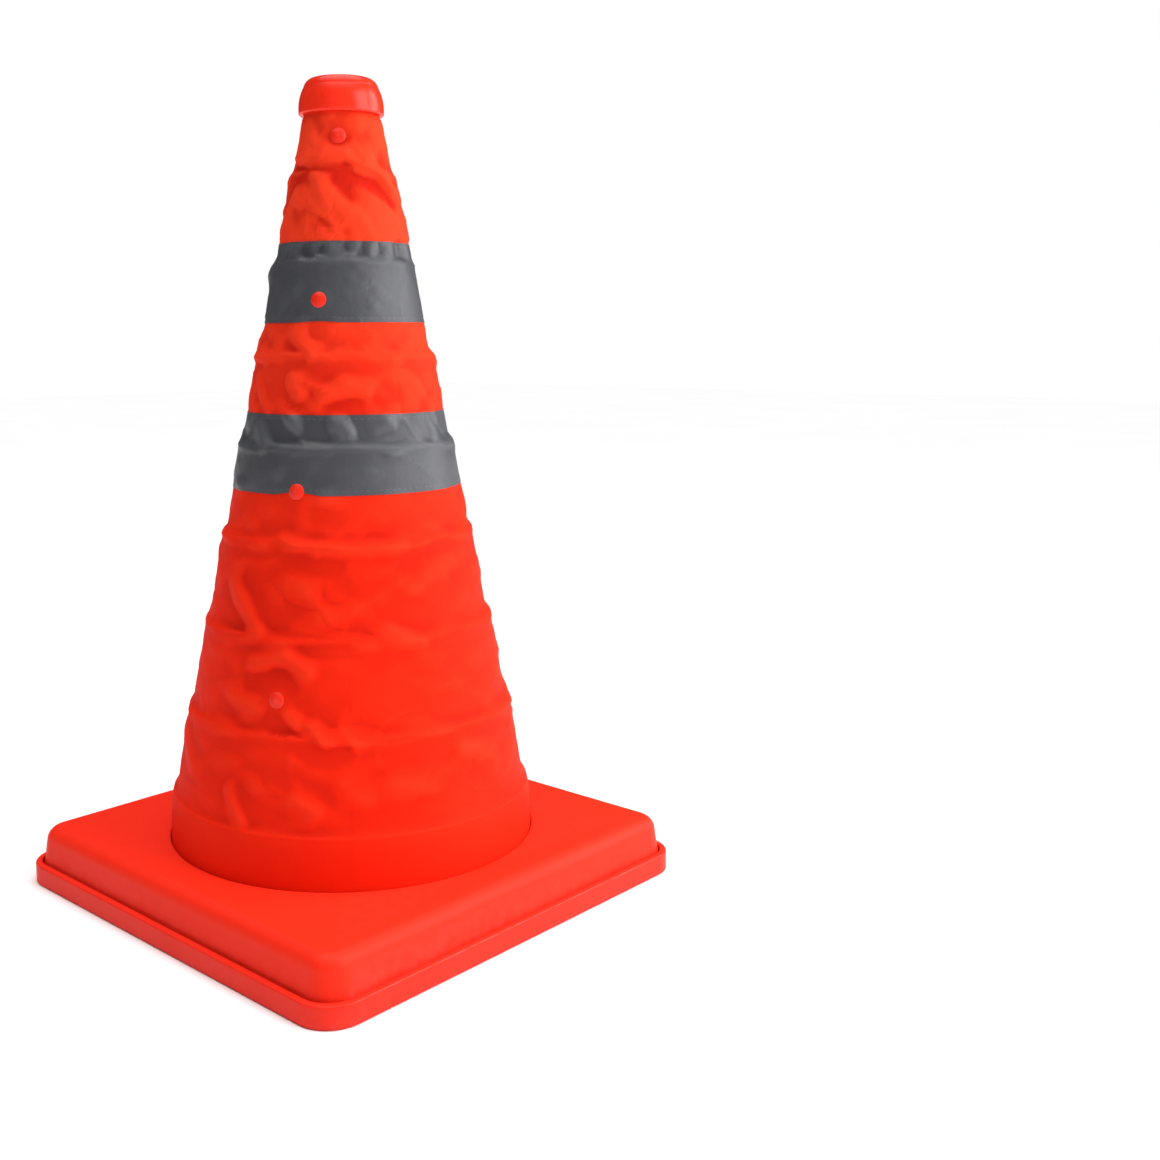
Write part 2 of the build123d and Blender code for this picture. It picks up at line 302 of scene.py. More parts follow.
for name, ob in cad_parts.items():
    if name == "base_shell":
        mat = m_shell
    elif name == "base_tray":
        mat = m_tray
    elif name == "collar" or name.startswith("ring_"):
        mat = m_ring
    elif name == "cap":
        mat = m_cap
    elif name.startswith("rivets"):
        mat = m_rivet
    elif name == "tray_screws":
        mat = m_screw
    elif name.startswith("band"):
        mat = m_band
    else:
        mat = m_cloth
    if not ob.material_slots:
        ob.data.materials.append(mat)
    for s in ob.material_slots:
        s.material = mat

# ------------------------------------------------------------------ sleeve: rows
# Cuts between the sleeve's lengths. Each length lies across one slide, between two bodies.
cuts = []          # (name, body a, body b, low, high, start, end, CAD nodes)
BODY = ["base"] + [f"stage_{k}" for k in range(1, 9)]
END = {0: 0.0142, 1: 0.0185, 2: 0.0178, 3: 0.0140}
lows = [0.0262, 0.150, 0.240, 0.343]
tops = [0.150, 0.240, 0.343, 0.4392]
for j in range(4):
    a0, a1 = z_top(2 * j), z_top(2 * j + 1) + 0.0080
    nodes = ([f"sleeve_{2 * j + 1}"] + (["sleeve_hem"] if j == 0 else []))
    cuts.append((f"sleeve_over_ring_{2 * j + 1}", BODY[2 * j], BODY[2 * j + 1], lows[j], a1, a0, a1, nodes))
    cuts.append((f"sleeve_over_ring_{2 * j + 2}", BODY[2 * j + 1], BODY[2 * j + 2], a1, tops[j], a1, z_top(2 * j + 1) + END[j], [f"sleeve_{2 * j + 2}"]))

marks = sorted({round(c[3], 6) for c in cuts} | {round(c[4], 6) for c in cuts} | set(LOW_BAND) | set(HIGH_BAND) | {BASE_H} | {round(z_top(k), 6) for k in range(8)})
rows = [marks[0]]
for a, b in zip(marks[:-1], marks[1:]):
    if b - a < 1e-5:
        continue
    t = a
    fine = []
    while t < b - 1e-6:
        h = 0.00165
        for k in range(8):
            if -0.004 < t - z_top(k) < 0.007:
                h = min(h, 0.0010)
        for c in cuts[1::2]:
            if c[5] - 0.001 < t < c[6] + 0.0005:
                h = min(h, 0.0006)
        fine.append(h)
        t += h
    total = sum(fine)
    s = (b - a) / total
    z = a
    for h in fine:
        z += h * s
        rows.append(round(z, 7))
rows = np.array(rows)
rows[np.abs(rows[:, None] - np.array(marks)[None]).min(1) < 2e-6] = [marks[int(i)] for i in np.abs(rows[:, None] - np.array(marks)[None]).argmin(1)[np.abs(rows[:, None] - np.array(marks)[None]).min(1) < 2e-6]]
NZ = len(rows)
TH = np.arange(N_T) * 2 * np.pi / N_T
TT, ZZ = np.meshgrid(TH, rows)                      # (NZ, N_T)
DEG = (np.degrees(TT) - VIEW_AZ + 180) % 360 - 180  # azimuth seen from the camera side, left is negative


def ang(d, a):
    return (d - a + 180) % 360 - 180


# ------------------------------------------------------------------ sleeve: the cut of the cloth
def pattern_radius(z):
    """Radius of the sleeve as sewn: it bridges the step over each ring's top edge."""
    r = ring_surface(z) + CLOTH_OUT
    for k in range(8):
        u = z - z_top(k)
        r = r + np.where(u > 0, (STEP - SLOPE * PITCH) * np.exp(-(np.maximum(u, 0) / 0.0042) ** 1.4), 0) * (u < PITCH + 0.001)
    return r


rng = np.random.default_rng(7)


def field(wave_t, wave_z, count, seed, tilt=0.6):
    """Smooth seeded noise on the sleeve: random waves about these lengths, in metres."""
    g = np.random.default_rng(seed)
    out = np.zeros_like(ZZ)
    rr = pattern_radius(ZZ)
    s = TT * 0.062
    for _ in range(count):
        n = max(1, int(round(2 * np.pi * 0.062 / (wave_t * g.uniform(0.7, 1.6)))))
        kz = 2 * np.pi / (wave_z * g.uniform(0.7, 1.6)) * (1 if g.random() < 0.5 else -1)
        out += g.uniform(0.5, 1.0) * np.sin(n * TT + kz * ZZ + g.uniform(0, 6.28))
    return out / math.sqrt(count)


def gauss_fold(a0, z0, a1, z1, width, amp, skew=0.0):
    """A fold of this width along the line from (azimuth, height) to (azimuth, height), camera azimuths."""
    rr = np.interp((z0 + z1) / 2, rows, pattern_radius(rows))
    sx = np.radians(ang(DEG, (a0 + a1) / 2)) * rr
    ax, bx = math.radians(a0 - (a0 + a1) / 2) * rr, math.radians(a1 - (a0 + a1) / 2) * rr
    dx, dz = bx - ax, z1 - z0
    L = math.hypot(dx, dz)
    t = ((sx - ax) * dx + (ZZ - z0) * dz) / L ** 2
    d = ((sx - ax) * (-dz) + (ZZ - z0) * dx) / L
    along = np.exp(-np.clip(np.maximum(-t, t - 1), 0, None) ** 2 * (L / width) ** 2) * np.exp(-((t - 0.5) / 0.62) ** 4)
    # a sharp crest or crease with a soft foot, and a shallow counter-fold on both sides
    q = np.abs(d) / (width * 1.2)
    across = 1.12 * np.exp(-(q ** 1.2)) - 0.12 * np.exp(-((q - 1.9) / 0.8) ** 2)
    return amp * FOLD_GAIN * across * along


def long_fold(points, above, below, amp):
    """A fold along a wandering line of (camera azimuth, height), with its own reach above and below."""
    az, hz = zip(*points)
    line = np.interp(DEG, az, hz)
    u = ZZ - line
    reach = smooth(az[0] - 14, az[0] + 6, DEG) * smooth(az[-1] + 14, az[-1] - 6, DEG)
    return amp * reach * np.where(u > 0, np.exp(-np.abs(u / above) ** 1.5), np.exp(-np.abs(u / below) ** 1.5))


# The long folds: (points, reach above, reach below, depth).
LONG_FOLDS = [
    ([(-66, 0.4074), (-45, 0.4070), (2, 0.4061), (34, 0.3988), (52, 0.3895)], 0.0095, 0.0024, 0.0030),
    ([(-66, 0.4004), (-46, 0.4001), (-13, 0.3990), (17, 0.3956), (49, 0.3852), (54, 0.3825)], 0.0022, 0.0048, -0.0024),
    ([(-58, 0.3850), (-30, 0.3800), (-8, 0.3700)], 0.0050, 0.0024, 0.0013),
    ([(100, 0.3860), (124, 0.3930), (150, 0.4010), (176, 0.4040)], 0.0070, 0.0026, 0.0022),
    ([(-172, 0.4010), (-150, 0.3950), (-120, 0.3850), (-100, 0.3790)], 0.0070, 0.0026, 0.0020),
    ([(-172, 0.3940), (-150, 0.3880), (-120, 0.3780), (-100, 0.3720)], 0.0020, 0.0040, -0.0014),
]
FOLD_GAIN = 1.7

# Folds, tucks and dimples of the sleeve: (azimuth, height, azimuth, height, width, depth).
FOLDS = [
    (-53.3, 0.4058, -29.5, 0.3974, 0.0030, 0.0012),
    (-29.3, 0.3963, -12.1, 0.3789, 0.0045, 0.0013),
    (-8.8, 0.3949, 8.8, 0.3821, 0.0050, -0.0008),
    (-37.4, 0.38, -11.6, 0.3704, 0.0045, -0.0010),
    (-15.1, 0.4249, 12.4, 0.4142, 0.0050, -0.0006),
    (-36.6, 0.3597, -31.8, 0.3506, 0.0026, -0.0012),
    (16.4, 0.3609, 13.6, 0.3513, 0.0026, -0.0012),
    (0.4, 0.3603, 2.7, 0.3555, 0.0024, -0.0009),
    (30.2, 0.3612, 32.5, 0.3548, 0.0024, -0.0009),
    (-19.6, 0.3599, -20.8, 0.3546, 0.0024, -0.0009),
    (50.7, 0.3612, 50.9, 0.3532, 0.0024, -0.0009),
    (-38.1, 0.3126, -20.7, 0.3021, 0.0040, 0.0014),
    (-42.5, 0.3084, -26.5, 0.299, 0.0035, -0.0012),
    (-15.6, 0.2788, -1.0, 0.2859, 0.0040, 0.0015),
    (-1.0, 0.2859, 13.0, 0.2816, 0.0040, 0.0015),
    (-13.2, 0.2746, 8.8, 0.2781, 0.0040, -0.0011),
    (-52.4, 0.2809, -39.6, 0.2853, 0.0045, -0.0014),
    (-34.4, 0.2901, -26.5, 0.2797, 0.0040, 0.0010),
    (28.3, 0.2913, 46.8, 0.2845, 0.0050, 0.0009),
    (-9.5, 0.3083, 13.3, 0.3098, 0.0040, -0.0007),
    (-33.6, 0.2594, -11.6, 0.2587, 0.0040, -0.0015),
    (3.0, 0.2684, 12.5, 0.2517, 0.0032, -0.0016),
    (12.5, 0.2517, 30.6, 0.2597, 0.0032, -0.0016),
    (-45.1, 0.2695, -32.7, 0.2522, 0.0032, -0.0015),
    (-31.8, 0.2708, -24.4, 0.2565, 0.0032, 0.0012),
    (44.2, 0.2686, 50.1, 0.2565, 0.0032, -0.0014),
    (-8.7, 0.2679, 2.7, 0.2606, 0.0040, 0.0012),
    (21.0, 0.269, 27.7, 0.2609, 0.0040, 0.0011),
    (-22.0, 0.2694, -16.0, 0.2628, 0.0030, -0.0010),
    (-56.0, 0.2659, -45.6, 0.2527, 0.0030, 0.0011),
    (-44.1, 0.2287, -27.1, 0.223, 0.0035, -0.0009),
    (-22.2, 0.2258, -1.2, 0.2269, 0.0040, 0.0006),
    (-31.3, 0.2069, -14.1, 0.1996, 0.0032, 0.0012),
    (-14.1, 0.1996, 7.3, 0.2008, 0.0032, 0.0014),
    (7.3, 0.2008, 24.7, 0.202, 0.0030, 0.0010),
    (-20.5, 0.1953, -3.6, 0.1926, 0.0040, -0.0009),
    (-55.2, 0.1824, -36.3, 0.1584, 0.0052, 0.0015),
    (-47.2, 0.1852, -31.6, 0.1631, 0.0040, -0.0016),
    (-64.0, 0.1743, -46.3, 0.1578, 0.0040, -0.0011),
    (16.5, 0.1713, 32.1, 0.1614, 0.0050, -0.0015),
    (13.3, 0.1635, 28.8, 0.1522, 0.0050, 0.0010),
    (31.1, 0.193, 45.1, 0.183, 0.0050, 0.0009),
    (-19.9, 0.1827, -7.4, 0.1655, 0.0060, 0.0007),
    (-38.3, 0.1408, -24.2, 0.1483, 0.0040, 0.0017),
    (-24.2, 0.1483, -14.0, 0.1395, 0.0040, 0.0017),
    (-39.7, 0.1319, -27.2, 0.1385, 0.0035, -0.0014),
    (-27.2, 0.1385, -20.2, 0.1292, 0.0035, -0.0012),
    (-48.2, 0.1254, -31.4, 0.1178, 0.0040, 0.0010),
    (-29.7, 0.1161, -19.2, 0.1051, 0.0040, -0.0020),
    (-24.5, 0.1188, -15.2, 0.1069, 0.0035, 0.0016),
    (-17.7, 0.1096, -10.4, 0.0973, 0.0040, -0.0018),
    (-10.4, 0.0973, -1.2, 0.1036, 0.0036, -0.0012),
    (-14.4, 0.1138, -7.0, 0.1023, 0.0035, 0.0014),
    (-3.8, 0.1135, 2.5, 0.0999, 0.0045, 0.0008),
    (-43.1, 0.0767, -34.7, 0.0622, 0.0040, 0.0016),
    (-38.6, 0.0791, -31.2, 0.0641, 0.0036, -0.0013),
    (-19.2, 0.0781, -10.4, 0.071, 0.0050, 0.0012),
    (-54.3, 0.0819, -43.7, 0.0704, 0.0045, -0.0010),
    (11.6, 0.0851, 27.6, 0.0753, 0.0060, 0.0010),
    (20.6, 0.0733, 38.6, 0.0693, 0.0050, -0.0008),
    (-3.8, 0.0856, 5.7, 0.0761, 0.0060, 0.0008),
    (37.7, 0.096, 54.5, 0.0835, 0.0050, 0.0009),
    (31.9, 0.1208, 50.0, 0.109, 0.0050, -0.0007),
]
# the same kinds of fold on the sides that face away, spread by a seeded rule
EXTRA = np.random.default_rng(23)
for k in range(1, 8):
    for i in range(9 if k < 6 else 6):
        a = 75 + EXTRA.uniform(0, 215)
        z = z_top(k) + EXTRA.uniform(-0.030, 0.012)
        da, dz = EXTRA.uniform(6, 16) * (0.0624 / max(float(pattern_radius(z)), 0.03)), EXTRA.uniform(-0.012, 0.012)
        FOLDS.append((a - da, z - dz, a + da, z + dz, EXTRA.uniform(0.0030, 0.0046), EXTRA.choice([-1, 1]) * EXTRA.uniform(0.0009, 0.0017) * (0.45 if k == 7 else 0.8)))
for zc, n in ((LOW_BAND[1], 15), (HIGH_BAND[1], 12)):
    for i in range(n):
        a = 62 + 236.0 * (i + EXTRA.uniform(-0.3, 0.3)) / n
        FOLDS.append((a, zc + 0.0012, a + EXTRA.uniform(-4, 4), zc - EXTRA.uniform(0.006, 0.011), 0.0025, -EXTRA.uniform(0.0006, 0.0012)))


# How slack the cloth is at each height: taut on the collar and just above each riveted ring's
# fastening, slack over the rings between.
def slack_of(z):
    s = np.interp(z, [0.030, 0.058, 0.066, 0.085, 0.112, 0.118, 0.135, 0.160, 0.185, 0.212, 0.222, 0.238, 0.250, 0.256, 0.285, 0.300, 0.318, 0.332, 0.352, 0.366, 0.385, 0.404, 0.414, 0.440],
                  [0.0, 0.0, 0.55, 0.9, 0.9, 0.5, 0.45, 0.9, 1.0, 0.75, 0.35, 0.25, 0.30, 0.95, 0.9, 0.85, 0.5, 0.35, 0.5, 0.6, 0.55, 0.5, 0.35, 0.0])
    return s


def make_sleeve():
    pat = pattern_radius(ZZ)
    slack = slack_of(ZZ)
    soft = field(0.042, 0.024, 34, 3) * 0.00050 + field(0.020, 0.014, 34, 11) * 0.00022
    # crisp creases where the nylon has been crumpled, in patches
    line_a, line_b = field(0.060, 0.036, 22, 51), field(0.040, 0.030, 22, 57)
    patch = smooth(-0.25, 0.55, field(0.085, 0.060, 14, 61))
    creases = 0.00075 * (np.exp(-np.abs(line_a) / 0.11) - 0.22) * patch - 0.00065 * (np.exp(-np.abs(line_b) / 0.10) - 0.20) * smooth(-0.3, 0.5, field(0.080, 0.070, 14, 67))
    d = soft * (0.25 + slack) + creases * slack
    for f in FOLDS:
        d = d + gauss_fold(*f)
    # a tuck where each rivet pulls the cloth onto its ring
    grip = np.zeros_like(ZZ)
    for k, (depth, az) in RIVETS.items():
        for turn in (0, 180):
            zr = z_top(k) - depth
            rr = float(pattern_radius(zr))
            sx = np.radians(ang(np.degrees(TT), az + turn)) * rr
            q = np.hypot(sx, ZZ - zr)
            grip = np.maximum(grip, np.exp(-(q / 0.0068) ** 4))
            d = d - 0.0004 * np.exp(-((q - 0.008) / 0.004) ** 2) + 0.0006 * np.exp(-((q - 0.015) / 0.005) ** 2) * np.cos(np.arctan2(sx, ZZ - zr) * 5 + k)
    # creases are shallow where a ring's edge is close behind the cloth
    near = np.zeros_like(ZZ)
    for k in range(8):
        near = np.maximum(near, np.exp(-((ZZ - z_top(k) + 0.0005) / 0.0045) ** 2))
    deepest = 0.0030 - 0.0026 * near
    d = np.where(d > 0, 0.0027 * np.tanh(d / 0.0027), deepest * np.tanh(d / deepest))
    for f in LONG_FOLDS:
        d = d + long_fold(*f)
    hold = np.clip(smooth(0.060, 0.046, ZZ) + smooth(0.4285, 0.4310, ZZ) + grip, 0, 1)
    d = d * (1 - hold)
    # the edge of each ring shows as a soft ridge that wanders a little
    wander = field(0.05, 0.4, 8, 31)
    for k in range(1, 8):
        zc = z_top(k) - 0.0006 + 0.0012 * wander
        strong = {1: 0.9, 2: 0.9, 3: 1.25, 4: 0.6, 5: 1.0, 6: 0.25, 7: 0.4}[k]
        lip = 0.00055 + 0.00045 * field(0.030, 5.0, 6, 40 + k)
        d = d + strong * (lip * np.exp(-((ZZ - zc) / 0.0019) ** 2) - 0.00045 * np.exp(-((ZZ - zc + 0.0052) / 0.0026) ** 2))
    # slack cloth stands off the rings between their edges, most of all near the top
    puff = np.interp(ZZ, [0.060, 0.075, 0.095, 0.108, 0.125, 0.145, 0.156, 0.175, 0.195, 0.204, 0.212, 0.232, 0.252, 0.262, 0.280, 0.298, 0.306, 0.316, 0.332, 0.350, 0.358, 0.372, 0.386, 0.3935, 0.3990, 0.404, 0.414, 0.424, 0.4275, 0.4305],
                     [0.0, 0.0005, 0.0005, 0.0001, 0.0006, 0.0005, 0.0001, 0.0007, 0.0005, 0.0001, 0.0003, 0.0004, 0.0002, 0.0008, 0.0009, 0.0002, 0.0005, 0.0003, 0.0002, 0.0001, 0.0017, 0.0020, 0.0009, 0.0004, 0.0008, 0.0012, 0.0015, 0.0015, 0.0011, 0.0])
    puff = puff * (1 + 0.30 * smooth(0.33, 0.37, ZZ) * np.sin(np.radians(DEG)))
    puff = puff + 0.0013 * smooth(-70, -20, DEG) * smooth(95, 60, DEG) * smooth(0.366, 0.378, ZZ) * smooth(0.4035, 0.3975, ZZ)
    r = pat + 0.00010 + d + puff * (1 - hold) + 0.00035 * grip
    floor_r = ring_corner(ZZ) + CLOTH_OUT + 0.00035 * grip
    soft_rest = 0.00016
    r = floor_r + soft_rest * np.logaddexp(0.0, (r - floor_r) / soft_rest)
    X = np.stack([r * np.cos(TT), r * np.sin(TT), ZZ], -1)
    # ---- cloth relaxation: stretch, shear, bending, weight and contact with the rings.
    # The sewn and folded shape is what it springs back to; the slack buckles it further.
    P = np.stack([pat * np.cos(TT), pat * np.sin(TT), ZZ], -1)
    slack_mid = 0.5 * (slack[1:] + slack[:-1])

    def length(a, b):
        return np.linalg.norm(a - b, axis=-1)

    lv = length(X[1:], X[:-1]) * (1 + 0.012 * slack_mid)
    Xr, Pr = np.roll(X, -1, 1), np.roll(P, -1, 1)
    lh = np.maximum(length(P, Pr) * (1 + 0.004 + 0.010 * slack), length(X, Xr) * (1 + 0.006 * slack))
    ld = [length(np.roll(X[1:], k, 1), X[:-1]) * (1 + 0.008 * slack_mid) for k in (-1, 1)]
    free = (1 - hold)[..., None]
    rest = X.copy()
    n = np.fft.rfftfreq(N_T, 1.0 / N_T)
    keep_low = 1.0 / (1.0 + (n[None, :] / (2 * np.pi * pat[:, :1]) * 0.0050) ** 4)
    weight = np.array([0.0, 0.0, -0.000010])
    for it in range(110):
        move = np.zeros_like(X)
        e = X[1:] - X[:-1]
        l = np.linalg.norm(e, axis=-1)
        c = (0.5 * (1 - lv / l))[..., None] * e
        move[:-1] += c
        move[1:] -= c
        e = np.roll(X, -1, 1) - X
        l = np.linalg.norm(e, axis=-1)
        c = (0.5 * (1 - lh / l))[..., None] * e
        move += c
        move -= np.roll(c, 1, 1)
        for k, s in enumerate((-1, 1)):
            e = np.roll(X[1:], s, 1) - X[:-1]
            l = np.linalg.norm(e, axis=-1)
            c = (0.25 * (1 - ld[k] / l))[..., None] * e
            move[:-1] += c
            move[1:] -= np.roll(c, -s, 1)
        X = X + 0.42 * move * free + weight * free
        # bending: only the finest waves are taken out of the change from the folded shape
        D = X - rest
        S = D.copy()
        S[1:-1] = 0.5 * D[1:-1] + 0.25 * (D[2:] + D[:-2])
        F = np.fft.rfft(S, axis=1)
        F *= keep_low[..., None]
        S = np.fft.irfft(F, n=N_T, axis=1)
        X = rest + (D + 0.35 * (S - D)) * free
        # contact
        rad = np.hypot(X[..., 0], X[..., 1])
        low = ring_corner(X[..., 2]) + CLOTH_OUT + 0.00005
        push = np.maximum(low - rad, 0)
        X[..., 0] += X[..., 0] / rad * push
        X[..., 1] += X[..., 1] / rad * push
        # a row keeps its height within a millimetre or two, so that the sewn lines stay level
        X[..., 2] = np.clip(X[..., 2], ZZ - 0.0016, ZZ + 0.0016)
    return X, pat


X, PAT = make_sleeve()


def grid_normals(G):
    dt = np.roll(G, -1, 1) - np.roll(G, 1, 1)
    dz = np.empty_like(G)
    dz[1:-1] = G[2:] - G[:-2]
    dz[0], dz[-1] = G[1] - G[0], G[-1] - G[-2]
    nrm = np.cross(dt, dz)
    return nrm / np.linalg.norm(nrm, axis=-1, keepdims=True)


# the lap seam at the back: one edge of the cloth lies over the other
seam_s = np.radians(ang(np.degrees(TT), SEAM_AZ)) * PAT
lap = smooth(0.0062, 0.0048, np.abs(seam_s + 0.0004)) * (ZZ > 0.0)
NRM = grid_normals(X)
X = X + NRM * (lap * 0.00055)[..., None]
NRM = grid_normals(X)


def blur(G, reach):
    """Average of a grid over about this many metres, round and up the sleeve."""
    m = np.fft.rfftfreq(N_T, 1.0 / N_T)
    F = np.fft.rfft(G, axis=1) * np.exp(-0.5 * (m[None, :] / PAT[:, :1] * reach) ** 2)
    G = np.fft.irfft(F, n=N_T, axis=1)
    w = np.exp(-0.5 * ((rows[:, None] - rows[None, :]) / reach) ** 2) * np.gradient(rows)[None, :]
    return (w / w.sum(1, keepdims=True)) @ G


STAND = np.hypot(X[..., 0], X[..., 1]) - PAT
# how far the cloth stands out from or sinks below its surroundings; the cloth material paints shade in the hollows and
# highlight on the crests from it
RELIEF = np.clip((STAND - blur(STAND, 0.0075)) / 0.00095, -1, 1) * (1 - 0.5 * smooth(0.060, 0.050, ZZ))
ARC = np.concatenate([[0], np.cumsum(np.hypot(np.diff(rows), np.diff(PAT[:, 0])))]) + rows[0]
CLOTH_X = np.radians(ang(np.degrees(TT), SEAM_AZ)) * PAT


def row_of(z):
    return int(np.abs(rows - z).argmin())


def tube_piece(name, lo, hi, outer, inner, normals, material, v_coord=None, edge_round=0.0):
    """A closed thin tube from rows lo..hi of two grids, with its two open edges closed."""
    i0, i1 = row_of(lo), row_of(hi)
    A, B, N = outer[i0:i1 + 1], inner[i0:i1 + 1], normals[i0:i1 + 1]
    nr = A.shape[0]
    vo = A.reshape(-1, 3)
    vi = B.reshape(-1, 3)
    verts = np.concatenate([vo, vi])
    off = nr * N_T
    i, j = np.meshgrid(np.arange(nr - 1), np.arange(N_T), indexing="ij")
    jn = (j + 1) % N_T
    a, b, c, d = i * N_T + j, i * N_T + jn, (i + 1) * N_T + jn, (i + 1) * N_T + j
    f_out = np.stack([a, b, c, d], -1).reshape(-1, 4)
    f_in = np.stack([d, c, b, a], -1).reshape(-1, 4) + off
    jj = np.arange(N_T)
    jk = (jj + 1) % N_T
    last = (nr - 1) * N_T
    f_lo = np.stack([jk, jj, jj + off, jk + off], -1)
    f_hi = np.stack([last + jj, last + jk, last + jk + off, last + jj + off], -1)
    faces = np.concatenate([f_out, f_in, f_lo, f_hi])
    me = bpy.data.meshes.new(name)
    me.vertices.add(len(verts))
    me.vertices.foreach_set("co", verts.astype(np.float32).ravel())
    me.loops.add(faces.size)
    me.loops.foreach_set("vertex_index", faces.astype(np.int32).ravel())
    me.polygons.add(len(faces))
    me.polygons.foreach_set("loop_start", (np.arange(len(faces)) * 4).astype(np.int32))
    me.update(calc_edges=True)
    me.validate()
    me.polygons.foreach_set("use_smooth", np.ones(len(me.polygons), bool))
    at = me.attributes.new("cloth_m", "FLOAT_VECTOR", "POINT")
    arc = np.repeat((ARC if v_coord is None else v_coord)[i0:i1 + 1], N_T)
    cx = CLOTH_X[i0:i1 + 1].reshape(-1)
    one = np.stack([cx, arc, np.zeros_like(cx)], -1)
    at.data.foreach_set("vector", np.concatenate([one, one + [0, 0, 0.001]]).astype(np.float32).ravel())
    rl = me.attributes.new("relief", "FLOAT", "POINT")
    rv = RELIEF[i0:i1 + 1].reshape(-1)
    rl.data.foreach_set("value", np.concatenate([rv, rv]).astype(np.float32))
    # outside and inside keep the whole sleeve's normals, so that the lengths meet without a line
    nv = np.concatenate([N.reshape(-1, 3), -N.reshape(-1, 3)])
    loop_n = nv[faces.ravel()]
    nf = len(f_out) + len(f_in)
    up = np.tile(np.array([[0, 0, -1.0]]), (len(f_lo) * 4, 1))
    dn = np.tile(np.array([[0, 0, 1.0]]), (len(f_hi) * 4, 1))
    loop_n = np.concatenate([loop_n[:nf * 4], up, dn])
    me.normals_split_custom_set(loop_n.tolist())
    ob = bpy.data.objects.new(name, me)
    bpy.context.scene.collection.objects.link(ob)
    me.materials.append(material)
    return ob


def cone_area(lo, hi):
    i0, i1 = row_of(lo), row_of(hi)
    z, p = rows[i0:i1 + 1], PAT[i0:i1 + 1, 0]
    return float(np.sum(np.pi * (p[1:] + p[:-1]) * np.hypot(np.diff(z), np.diff(p)))), float(np.sum(np.hypot(np.diff(z), np.diff(p)))), float(2 * np.pi * p.max())


INNER = X - NRM * CLOTH_T
for name, a, b, lo, hi, s, e, nodes in cuts:
    ob = tube_piece(name, lo, hi, X, INNER, NRM, m_cloth)
    area, length_m, width_m = cone_area(lo, hi)
    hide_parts(*nodes)
    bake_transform(ob)

# ------------------------------------------------------------------ bands, sewn over the sleeve
for name, (lo, hi), a, b, s, e, nodes in (
    ("reflective_band_low", LOW_BAND, "stage_4", "stage_5", z_top(4), z_top(5) + 0.0080, ("band_low_4", "band_low_5")),
    ("reflective_band_high", HIGH_BAND, "stage_6", "stage_7", z_top(6), z_top(7) + 0.0080, ("band_high_6", "band_high_7")),
):
    edge = smooth(lo, lo + 0.0012, ZZ) * smooth(hi, hi - 0.0012, ZZ)
    stitch = np.exp(-((ZZ - lo - 0.0022) / 0.0007) ** 2) + np.exp(-((ZZ - hi + 0.0022) / 0.0007) ** 2)
    lift = 0.00034 + 0.00016 * edge - 0.00022 * stitch
    OUT = X + NRM * lift[..., None]
    INN = X + NRM * 0.00006
    ob = tube_piece(name, lo, hi, OUT, INN, grid_normals(OUT), m_band, v_coord=rows)
    area, length_m, width_m = cone_area(lo, hi)
    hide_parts(*nodes)
    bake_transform(ob)

# ------------------------------------------------------------------ floor, light, camera
def stage_material():
    m, nt, b = new_material("studio_floor")
    o = object_vector(nt)
    n = noise(nt, o, 3.0, 2.0)
    nt.links.new(ramp(nt, n, [(0.3, (0.94, 0.94, 0.94)), (0.7, (0.96, 0.96, 0.96))]), b.inputs["Base Color"])
    b.inputs["Roughness"].default_value = 0.9
    b.inputs["Specular IOR Level"].default_value = 0.1
    return m


me = bpy.data.meshes.new("floor")
S = 6.0
me.from_pydata([(-S, -S, 0), (S, -S, 0), (S, S, 0), (-S, S, 0)], [], [(0, 1, 2, 3)])
floor = bpy.data.objects.new("floor", me)
floor.location.z = -0.0002
me.materials.append(stage_material())
bpy.context.scene.collection.objects.link(floor)

world = bpy.data.worlds.new("studio")
bpy.context.scene.world = world
world.use_nodes = True
wn = world.node_tree
back = wn.nodes["Background"]
back.inputs[0].default_value = (1.0, 1.0, 1.0, 1.0)
back.inputs[1].default_value = 0.05
white = wn.nodes.new("ShaderNodeBackground")
white.inputs[0].default_value = (1.0, 1.0, 1.0, 1.0)
white.inputs[1].default_value = 1.0
ray = wn.nodes.new("ShaderNodeLightPath")
pick = wn.nodes.new("ShaderNodeMixShader")
wn.links.new(ray.outputs["Is Camera Ray"], pick.inputs[0])
wn.links.new(back.outputs[0], pick.inputs[1])
wn.links.new(white.outputs[0], pick.inputs[2])
wn.links.new(pick.outputs[0], wn.nodes["World Output"].inputs[0])

cam_dir = np.array([math.sin(math.radians(49.0)), -math.cos(math.radians(49.0)), 0.0])
cam_right = np.array([math.cos(math.radians(49.0)), math.sin(math.radians(49.0)), 0.0])


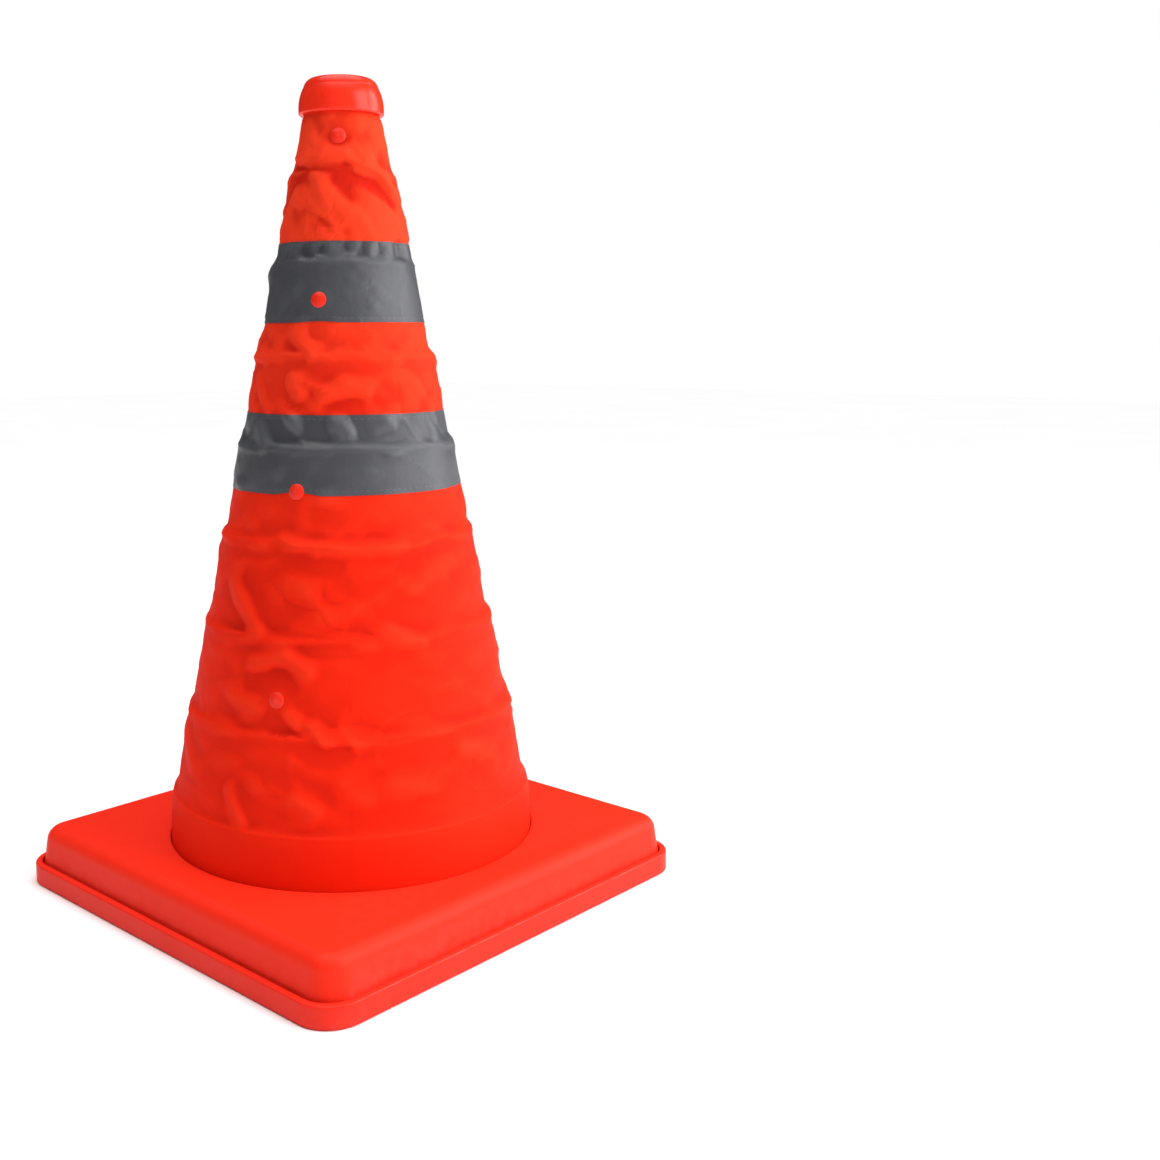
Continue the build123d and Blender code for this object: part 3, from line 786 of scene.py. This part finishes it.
def area_light(name, at, target, size, size_y, watts, color=(1, 1, 1)):
    l = bpy.data.lights.new(name, "AREA")
    l.shape = "RECTANGLE"
    l.size, l.size_y = size, size_y
    l.energy = watts
    l.color = color
    o = bpy.data.objects.new(name, l)
    o.location = Vector(at)
    o.rotation_mode = "QUATERNION"
    o.rotation_quaternion = (Vector(target) - Vector(at)).to_track_quat("-Z", "Y")
    bpy.context.scene.collection.objects.link(o)
    return o


def place(front, right, up):
    return tuple(cam_dir * front + cam_right * right + np.array([0, 0, up]))


area_light("key_right", place(0.61, 1.05, 0.80), (0, 0, 0.28), 0.80, 0.95, 13.5)
area_light("side_right", place(-0.20, 1.15, 0.62), (0, 0, 0.28), 0.5, 1.0, 9.0)
area_light("front_soft", place(1.25, -0.10, 0.95), (0, 0, 0.25), 1.3, 0.9, 0.9)
sun = bpy.data.lights.new("overhead", "SUN")
sun.energy = 3.2
sun.angle = math.radians(70)
sun_ob = bpy.data.objects.new("overhead", sun)
sun_ob.location = (0, 0, 2)
bpy.context.scene.collection.objects.link(sun_ob)

cam_data = bpy.data.cameras.new("camera")
cam = bpy.data.objects.new("camera", cam_data)
bpy.context.scene.collection.objects.link(cam)
F_PX, CX, CY = 1345.19, 480.0, 480.0
cam_data.sensor_width = 36.0
cam_data.sensor_fit = "HORIZONTAL"
cam_data.lens = 36.0 * F_PX / 1160.0
cam_data.shift_x = (580.0 - CX) / 1160.0
cam_data.shift_y = -(580.0 - CY) / 1160.0
cam_data.clip_start, cam_data.clip_end = 0.01, 50
right = Vector((0.7276916, 0.68587742, -0.00609129))
up = Vector((-0.06857456, 0.08158561, 0.99430444))
fwd = Vector((-0.68246792, 0.72312928, -0.10640291))
R = Matrix((right, up, -fwd)).transposed()
cam.rotation_mode = "QUATERNION"
cam.rotation_quaternion = R.to_quaternion()
cam.location = Vector((0.57371669, -0.49868915, 0.309901))
bpy.context.scene.camera = cam
bpy.context.scene.view_settings.view_transform = "Standard"
bpy.context.scene.view_settings.look = "None"
bpy.context.scene.view_settings.exposure = 0.0
bpy.context.scene.view_settings.gamma = 1.0
